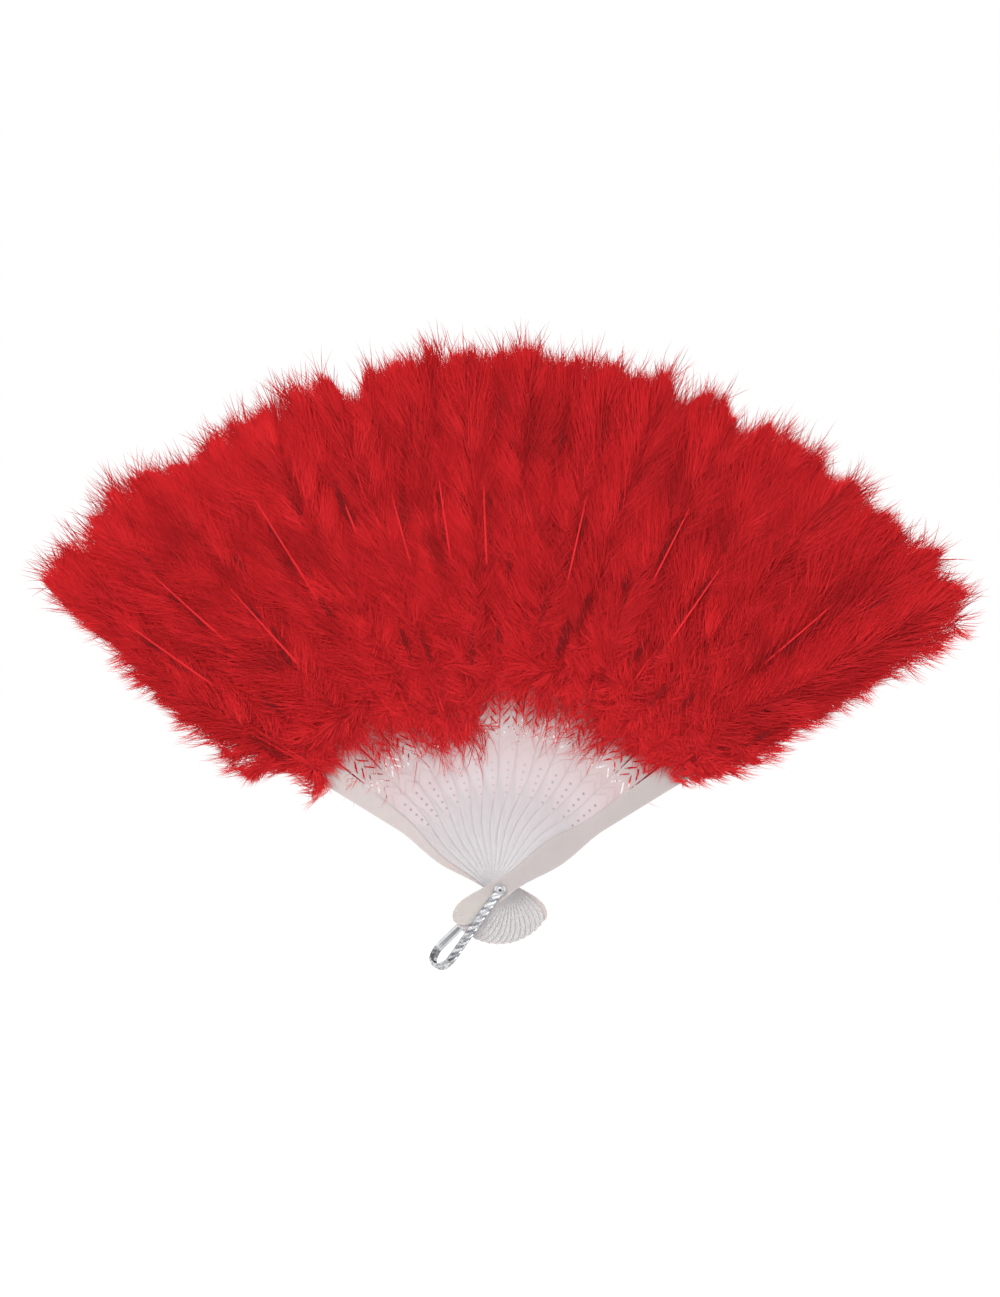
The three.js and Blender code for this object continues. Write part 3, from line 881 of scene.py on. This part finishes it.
def lashes(rng, plume, bunches):
    """Stiff thin barbs that stand out past a plume's rim."""
    count = bunches * LASHES
    bunch = np.repeat(np.arange(bunches), LASHES)
    off = (rng.uniform(-0.55, 0.55, bunches) * STEP)[bunch] + rng.normal(0, 0.006, count)
    sink = rng.uniform(4, 10, bunches)[bunch] + rng.uniform(0, 4, count)
    aim = np.minimum(off + math.radians(plume["aim"]), (plume["stick"] + 0.08) * STEP)
    away = rim_at(plume, aim) - sink
    root = round_rivet(away, aim, rng.uniform(1, plume["room"] - 1.5, bunches)[bunch])
    way = aim + rng.normal(0, 0.3, bunches)[bunch] + rng.normal(0, 0.2, count)
    length = sink + rng.uniform(5, 17, bunches)[bunch] * rng.uniform(0.45, 1.1, count)
    paths = strands(root, way, rng.normal(0, 0.2, count), length, rng.normal(0, 0.08, count))
    return strand_set(rng, paths, (0.15, 0.24), (0.06, 0.6))


# %% [markdown]
# Along the outer edge of a guard the barbs end in small curled locks.

# %% Locks along the outer edges
LOCK = 9
LOCKS_FROM, LOCKS_TO = 98, 256
# They are longest above the hem, and longer again near the rim: place along the guard, and how much.
LOCK_LONGER = ((110, 1.0), (125, 2.2), (160, 2.2), (185, 1.3), (210, 1.7), (256, 1.7))


def locks(rng, plume, bunches):
    """Locks of barbs that curl out past the outer edge of a guard's plumes."""
    count = bunches * LOCK
    bunch = np.repeat(np.arange(bunches), LOCK)
    along = rng.uniform(LOCKS_FROM, LOCKS_TO, bunches)[bunch] + rng.normal(0, 1.0, count)
    sink = rng.uniform(4, 8, bunches)[bunch] + rng.uniform(0, 3, count)
    across = plume["outer"] * (by_place(EDGE[plume["outer"]], along) - sink)
    root = np.stack([along, across, rng.uniform(1, 6, bunches)[bunch]], axis=-1)
    way = plume["outer"] * (rng.normal(0.95, 0.25, bunches)[bunch] + rng.normal(0, 0.1, count))
    past = rng.uniform(1, 7, bunches)[bunch] * rng.uniform(0.4, 1.1, count)
    length = sink * 1.3 + past * by_place(LOCK_LONGER, along)
    lift = rng.normal(0, 0.15, count).clip(-0.25, 0.25)
    paths = strands(root, way, lift, length, -plume["outer"] * rng.uniform(0, 0.35, count))
    gather(paths, bunch, 0.35)
    return strand_set(rng, paths, (0.12, 0.2), (0.5, 0.9))


# %% [markdown]
# Over the whole face thin barbs stand off the down, so that it looks soft from the side too.

# %% Loose barbs
LOOSE_ABOVE_HEM, LOOSE_TO, LOOSE_INSIDE = 15, 250, 4


def flyaways(rng, plume, hem, count):
    """Thin barbs that stand up from the face of a stick's plumes, on a guard inside the outer edge."""
    away = rng.uniform(hem + LOOSE_ABOVE_HEM, LOOSE_TO, count)
    off = rng.uniform(-0.6, 0.6, count) * STEP
    root = round_rivet(away, off, rng.uniform(4.0, 7.0, count))
    outer = plume["outer"]
    if outer:
        widest = by_place(EDGE[outer], root[:, 0]) - LOOSE_INSIDE
        root[:, 1] = outer * np.minimum(outer * root[:, 1], widest)
    way = off + rng.normal(0, 0.7, count)
    lift, length = rng.uniform(0.2, 0.75, count), rng.uniform(6, 13, count)
    paths = strands(root, way, lift, length, rng.normal(0, 0.3, count))
    return strand_set(rng, paths, (0.08, 0.13), (0.4, 0.85))


# %% [markdown]
# Here and there two tufts part, and a short slit of dark barbs lies in the gap as painted shade. About
# half of the slits lie beside a bare quill.

# %% Slits between tufts
SLIT_BARBS = 48
# Slits in the valleys of a stick's plume: most in the middle of the fan.
VALLEY_SLITS = ((0, 2), (3, 2), (5, 5), (10, 5), (12, 2), (15, 2))
SLITS_FROM, SLITS_TO = 112, 238


def slits(rng, along, across, height, spread=2.8):
    """Short dark barbs, close together, at the given places: painted shade."""
    count = len(along)
    many = count * SLIT_BARBS
    slit = np.repeat(np.arange(count), SLIT_BARBS)
    root = np.stack([along, across, height], axis=-1)[slit]
    root[:, :2] += rng.normal(0, 1, (many, 2)) * (spread, 0.6)
    way = (np.arctan2(across, along) + rng.normal(0, 0.25, count))[slit] + rng.normal(0, 0.12, many)
    length = rng.uniform(4, 8, count)[slit] * rng.uniform(0.6, 1.1, many)
    paths = strands(root, way, np.full(many, 0.05), length, np.zeros(many))
    return strand_set(rng, paths, (0.13, 0.2), (0.0, 0.07))


def valley_slits(rng, count):
    """Slits of painted shade in the valleys beside a stick's plume."""
    away = rng.uniform(SLITS_FROM, SLITS_TO, count)
    off = rng.choice([-1, 1], count) * rng.uniform(0.2, 0.5, count) * STEP
    return slits(rng, *round_rivet(away, off, rng.uniform(7.5, 9.2, count)).T, spread=4.0)


# %% [markdown]
# At the hem the longest barbs come loose and hang over the plastic in thin curls, a few together.

# %% Curls at the hem
CURLS = 5


def hanging(rng, hem, bunches, sides, longest):
    """Fine curled barbs that hang from the hem. sides: how far they go to either side of the stick."""
    count = bunches * CURLS
    bunch = np.repeat(np.arange(bunches), CURLS)
    along = hem + rng.uniform(0, 9, bunches)[bunch] + rng.uniform(0, 4, count)
    across = rng.uniform(*sides, bunches)[bunch] + rng.normal(0, 0.8, count)
    root = np.stack([along, across, rng.uniform(0.8, 4.5, bunches)[bunch]], axis=-1)
    way = math.pi + rng.normal(0, 0.5, bunches)[bunch] + rng.normal(0, 0.25, count)
    curl = rng.normal(0, 0.3, bunches)[bunch] + rng.normal(0, 0.25, count)
    length = rng.uniform(9, longest, bunches)[bunch] * rng.uniform(0.5, 1, count)
    paths = strands(root, way, np.full(count, -0.1), length, curl)
    gather(paths, bunch, 0.3)
    return strand_set(rng, paths, (0.12, 0.22), (0.3, 0.75))


# %% [markdown]
# The slots of the sticks form chevrons, and those close to the hem are filled with red down from
# behind. A few barbs lie along each leg of such a chevron.

# %% Down in the slots
SLOT_ROWS = (80.5, 85.4, 90.3, 95.2)
SLOT_NEAR_HEM = 11
LEG_FROM, LEG_TO = np.array([-0.55, 0.6]), np.array([-5.15, 4.0])
LEG_BARBS = 9


def slot_down(rng, hem):
    """Barbs in the chevrons near the hem. A leg's ends are along and across, from the chevron's top."""
    tops = [top for top in SLOT_ROWS if top > hem - SLOT_NEAR_HEM]
    legs = np.repeat([(top, side) for top in tops for side in (-1, 1)], LEG_BARBS, axis=0)
    count = len(legs)
    ends = [np.stack([legs[:, 0] + end[0], legs[:, 1] * end[1]], axis=-1) for end in (LEG_FROM, LEG_TO)]
    reach = ends[1] - ends[0]
    start = ends[0] + reach * rng.uniform(0, 0.4, count)[:, None] + rng.normal(0, 0.2, (count, 2))
    root = np.column_stack([start, np.full(count, LOWEST)])
    way = np.arctan2(reach[:, 1], reach[:, 0]) + rng.normal(0, 0.08, count)
    paths = strands(root, way, np.zeros(count), rng.uniform(2.2, 3.6, count), rng.normal(0, 0.05, count))
    return strand_set(rng, paths, (0.1, 0.16), (0.45, 0.8))


# %% [markdown]
# ## The plumes of a stick
# Each face of each stick carries a long plume that makes the rim, one between it and the next stick, a
# shorter one over its foot, and loose down at the hem that hangs over the plastic. They are one piece,
# glued to that stick, so they ride with it.

# %% Shafts
SHAFT_CUTS = 9
CUTS = np.linspace(0, 1, SHAFT_CUTS + 1)
OVERLAP = 0.3
SHAFT_TONE, QUILL_TONE = 0.6, 0.985
QUILL_LOW, QUILL_RISE, QUILL_THICK = 6.0, 4.2, (0.68, 0.4)
# The slits of painted shade beside a bare quill: at which cuts, and how far along it, beside it and
# above it.
SLIT_CUTS = [0, 1, 3, 5]
SLIT_ALONG, SLIT_ABOVE = [0, 1, 0, 2], [0.5, -0.8, -0.8, -0.8]
SLIT_BESIDE = np.array([1.1, -1.5, 1.7, 1.2])


def spindles(line, thick, tone):
    """A row of thick spindles along a line, each running into the next."""
    starts, stops = line[:-1], line[1:]
    past = OVERLAP * (stops - starts)
    paths = np.stack([starts - past, starts, stops, stops + past], axis=1)
    thick = np.interp(CUTS, (0, 1), thick)
    radii = np.stack([thick[:-1], thick[1:]], axis=-1) * MM
    return paths, radii, np.full(SHAFT_CUTS, tone), np.zeros((SHAFT_CUTS, 2))


def shaft_barbs(plume):
    """The shaft of a plume."""
    return spindles(shaft_of(plume, CUTS) + (0, 0, plume["shaft_up"]), plume["shaft"], SHAFT_TONE)


def bare_quill(rng, stick, place, start, stop):
    """The part of a shaft that lies bare on the down and dives into it at both ends, with its slits of
    painted shade.
    """
    high = QUILL_LOW + QUILL_RISE * np.sin(np.pi * CUTS) ** 0.4
    line = round_rivet(start + (stop - start) * CUTS, (stick - place) * STEP, high)
    side = rng.choice([-1, 1])
    beside = line[SLIT_CUTS] + np.stack([SLIT_ALONG, side * SLIT_BESIDE, SLIT_ABOVE], axis=-1)
    return spindles(line, QUILL_THICK, QUILL_TONE), slits(rng, *beside.T)


# %% Sizes of the plumes
# In the picture the hem wanders too. These are its distances from the rivet in millimetres, on each
# stick from left to right.
HEM = (102, 101, 100, 92, 85, 77, 79, 95, 95, 95, 94, 94, 92, 93, 95, 103)
# Behind, where it isn't seen in the picture, it is even, and higher on the guards.
BACK_HEM, BACK_HEM_GUARD = 82, 98
# A plume's shaft starts this far above the hem.
FOOT_UP = 10
# Bare quills: their place in sticks from the left, and where they start and stop.
BARE_QUILLS = (
    (0.2, 170, 232), (1.1, 176, 236), (1.9, 144, 203), (3.2, 160, 235), (4.57, 186, 206),
    (5.45, 158, 204), (6.37, 160, 209), (7.19, 156, 204), (9.16, 150, 199), (11.03, 166, 212),
    (12.1, 140, 198), (14.1, 166, 217),
)
# Stray plumes that lie across a stick or hang over a guard: their foot, side shift, turn and length.
STRAYS = {
    0: ((131, 6, 76, 14), (142, 8, 56, 13), (110, 2, 132, 11)),
    2: ((114, 2, 70, 20),), 3: ((118, 0, 100, 25),), 5: ((112, 0, -108, 23),), 7: ((128, -2, 62, 22),),
    8: ((130, 0, -118, 27),), 10: ((118, 0, 112, 25),), 12: ((116, 1, 66, 22),),
    13: ((122, 0, -97, 25),), 15: ((113, -2, -58, 11), (130, -4, -52, 11)),
}
# The down is a little brighter near the rim, by stick.
RIM_BRIGHTER = ((0, 0.3), (3, 0.2), (6, 0.1), (9, 0.1), (12, 0.17), (15, 0.17))
SEED = 41
# The plumes behind have fewer barbs, and thicker ones.
BACK_BARBS, FINE, COARSE = 0.55, (0.11, 0.185), (0.16, 0.26)


def hem_sides(k):
    """How far loose down goes to either side of a stick: on a guard hardly past its outer edge."""
    return (-7 if k < STEPS else -1, 7 if k > 0 else 1)


def plumes_of(rng, k, front):
    """The plumes on one face of a stick, as settings in millimetres and degrees."""
    many, thick = (1.0, FINE) if front else (BACK_BARBS, COARSE)
    bare = front and any(round(place) == k for place, _, _ in BARE_QUILLS)
    hem = HEM[k] if front else BACK_HEM if 0 < k < STEPS else BACK_HEM_GUARD
    rim = highest_rim(k)
    outer = (k == 0) - (k == STEPS)
    long_one = dict(
        stick=k, outer=outer, foot=hem + FOOT_UP, span=rim - 23 - hem, rim=rim,
        barbs=int(5100 * many), tufts=36, crowd=0.92,
        bow=rng.uniform(-3, 3), turn=rng.uniform(-1.5, 1.5), aim=0.0, shift=rng.uniform(-1.5, 1.5),
        height=((0, 1.5), (0.5, 6.0 if bare else 5.0), (0.8, 5.0), (1, 3.5)),
        lean=((0, 58), (0.5, 41), (0.85, 29), (1, 10)), long=((0, 18), (0.4, 32), (0.8, 38), (1, 24)),
        lean_play=9, lift=0 if bare else 6, lift_play=11, loose=11, gather=0.22, fringe=6, room=8.5,
        round=rng.uniform(3, 8), thick=thick, tone=0.67, rim_dye=by_place(RIM_BRIGHTER, k),
        shaft=(0.62, 0.3), shaft_up=1.2 if bare else 0.0,
    )
    half = math.degrees(STEP) / 2 + rng.uniform(-0.6, 0.6)
    aim = half if k == STEPS else -half
    rim_between = highest_rim(k - 0.5 if k == STEPS else k + 0.5)
    # The plume between two sticks lies in the valley, and its lower tone is painted shade.
    between = dict(
        long_one, rim=rim_between, span=rim_between - 24 - hem, barbs=int(3600 * many), tufts=34,
        turn=aim, aim=aim, shift=long_one["foot"] * math.tan(math.radians(aim)),
        height=((0, 0.8), (0.5, 3.5), (0.85, 4.5), (1, 3.0)), lift=4, tone=0.51, shaft_up=0.0,
    )
    short_one = dict(
        long_one, foot=hem + 5, span=rng.uniform(75, 110), barbs=int(1500 * many), tufts=20,
        turn=rng.uniform(-6, 6), shift=rng.choice([-1, 1]) * rng.uniform(1, 4),
        height=((0, 2.0), (0.5, 6.0), (1, 5.0)), lean=((0, 85), (0.5, 52), (1, 30)),
        long=((0, 12), (0.5, 25), (1, 28)), loose=15, lift=9, gather=0.3, shaft_up=0.0,
    )
    made = [long_one, between, short_one]
    for _ in range(2 if front else 1):
        place = rng.uniform(110, 195)
        made.append(dict(
            short_one, foot=place, span=rng.uniform(25, 45), shift=rng.uniform(-0.05, 0.05) * place,
            turn=rng.uniform(-25, 25), barbs=420, tufts=9, height=((0, 3.0), (1, 7.0)),
            lean=((0, 60), (1, 25)), long=((0, 14), (1, 22)), tone=0.52,
        ))
    for foot, shift, turn, span in STRAYS.get(k, ()) if front else ():
        made.append(dict(
            short_one, foot=foot, span=span, shift=shift, turn=turn, bow=4.0,
            barbs=(44 if outer else 30) * span, tufts=14, tone=0.8 if outer else 0.6,
            height=((0, 4.0), (1, 6.0)), lean=((0, 46), (1, 14)), gather=0.15, lean_play=18, loose=22,
            long=((0, 5 + 0.2 * span), (1, 8 + 0.27 * span)),
        ))
    for _ in range(4):
        made.append(dict(
            short_one, foot=hem + rng.uniform(8, 16), span=rng.uniform(4, 9),
            shift=rng.uniform(*hem_sides(k)), turn=180 + rng.uniform(-70, 70), bow=0.0,
            barbs=170, tufts=6, thick=(0.09, 0.15), height=((0, 2.5), (1, 2.0)), lift=2, tone=0.8,
            lean=((0, 55), (1, 30)), long=((0, 8), (1, 10)), lean_play=20, loose=20, gather=0.12,
        ))
    return made


# %% Make the plumes
# How many bunches or barbs of each loose kind a face gets, behind and in front.
RIM_BUNCHES, HEM_BUNCHES, FLYAWAYS, LOCK_BUNCHES = (5, 9), (8, 20), (80, 130), (40, 100)
RIM_BUNCHES_BETWEEN = 7
LONGEST_CURL, LONGEST_CURL_OUTSIDE = 38, 17


def make_plume(k, front):
    """All the down on one face of a stick, as one piece."""
    side = "front" if front else "back"
    node, name = f"plume_{side}_{k:02d}", f"marabou_{side}_{k:02d}"
    rng = np.random.default_rng(SEED + 2 * k + front)
    near, far = stick_faces(k)
    face, out = (near, -1) if front else (far, 1)
    kinds = plumes_of(rng, k, front)
    grown = [grow(rng, plume) for plume in kinds]
    grown += [shaft_barbs(plume) for plume in kinds[:3]]
    long_one, between = kinds[:2]
    grown += [lashes(rng, long_one, RIM_BUNCHES[front]), lashes(rng, between, RIM_BUNCHES_BETWEEN)]
    hem, on_guard = long_one["foot"] - FOOT_UP, long_one["outer"] != 0
    longest = LONGEST_CURL if 1 < k < STEPS - 1 else LONGEST_CURL_OUTSIDE
    bunches = HEM_BUNCHES[front] // (2 if on_guard else 1)
    grown += [hanging(rng, hem, bunches, hem_sides(k), longest)]
    grown += [flyaways(rng, long_one, hem, FLYAWAYS[front])]
    if on_guard:
        grown += [locks(rng, long_one, LOCK_BUNCHES[front])]
    if front and not on_guard:
        grown += [slot_down(rng, hem)]
    if front:
        grown += [valley_slits(rng, int(by_place(VALLEY_SLITS, k)))]
        for quill in BARE_QUILLS:
            if round(quill[0]) == k:
                grown += bare_quill(rng, k, *quill)
    paths, radii, tones, tilts = (np.concatenate(parts) for parts in zip(*grown))
    mesh = barb_mesh(name, to_fan(k, face, out, paths), radii, tones, turned(k, out, tilts))
    piece = add_piece(name, mesh, down_red)
    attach(piece, stick_name(k))
    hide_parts(node)
    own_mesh(piece)
    return piece


plumes = [make_plume(k, front) for k in range(STEPS + 1) for front in (True, False)]
print("plumes:", len(plumes), "barb faces:", sum(len(p.data.polygons) for p in plumes))

# %% [markdown]
# ## The stay ribbon
# A satin ribbon runs behind the sticks, under the rear plumes, and stops the fan at its full spread.
# It is sewn to every stick. When the fan folds, each span follows its stick and the ribbon lies in
# folds, so it is made span by span, each on its own stick.

# %% Satin
SATIN_RED = (0.55, 0.012, 0.017, 1)
satin, tree, shader, where = solid_material("satin_ribbon", Base_Color=SATIN_RED, Roughness=0.42)
weave = placed(where, "ShaderNodeTexWave", Scale=900.0, Distortion=0.4)
bump = add_node(tree, "ShaderNodeBump", Strength=0.2, Distance=0.0001)
link(weave, "Fac", bump, "Height")
link(bump, 0, shader, "Normal")

# %% Ribbon spans
RIBBON_AT, RIBBON_WIDE, RIBBON_THICK, RIBBON_OFF = 150.0, 6.0, 0.3, 0.25
RIBBON_END = math.radians(2.7)
RIBBON_CUTS = 12
# The last part of a span goes to the layer of the next stick.
DROP_FROM = 0.86


def ribbon_span(k):
    """The ribbon from half-way to the last stick to half-way to the next, which is a layer in front."""
    start = STEP / 2 if k > 0 else RIBBON_END
    stop = STEP / 2 if k < STEPS else RIBBON_END
    part = np.linspace(0, 1, RIBBON_CUTS + 1)
    turn = start - (start + stop) * part
    drop = LAYER / MM * np.maximum(0, part - DROP_FROM) / (1 - DROP_FROM) * (k < STEPS)
    half = RIBBON_WIDE / 2
    corners = ((-half, 0), (half, 0), (half, RIBBON_THICK), (-half, RIBBON_THICK))
    lines = [round_rivet(RIBBON_AT + away, turn, RIBBON_OFF - drop + deep) for away, deep in corners]
    points = to_fan(k, stick_faces(k)[1], 1, np.stack(lines, axis=1)).reshape(-1, 3).tolist()
    sides = [(4 * i + j, 4 * i + (j + 1) % 4) for i in range(RIBBON_CUTS) for j in range(4)]
    faces = [(a, b, b + 4, a + 4) for a, b in sides]
    last = 4 * RIBBON_CUTS
    faces += [(3, 2, 1, 0), (last, last + 1, last + 2, last + 3)]
    name = f"ribbon_span_{k:02d}"
    mesh = bpy.data.meshes.new(name)
    mesh.from_pydata(points, [], faces)
    piece = add_piece(name, mesh, satin)
    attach(piece, stick_name(k))
    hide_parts("stay_ribbon")
    return piece


spans = [ribbon_span(k) for k in range(STEPS + 1)]
print("ribbon spans:", len(spans))

# %% [markdown]
# ## The size, and the end
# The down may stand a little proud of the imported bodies, so both boxes are written down to compare.

# %% Sizes
new_low, new_high = (list(corner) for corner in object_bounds())
for corner, cad, new in (("low", cad_low, new_low), ("high", cad_high, new_high)):
    print(corner, "corner moved by, in mm:", [round((b - a) / MM, 1) for a, b in zip(cad, new)])
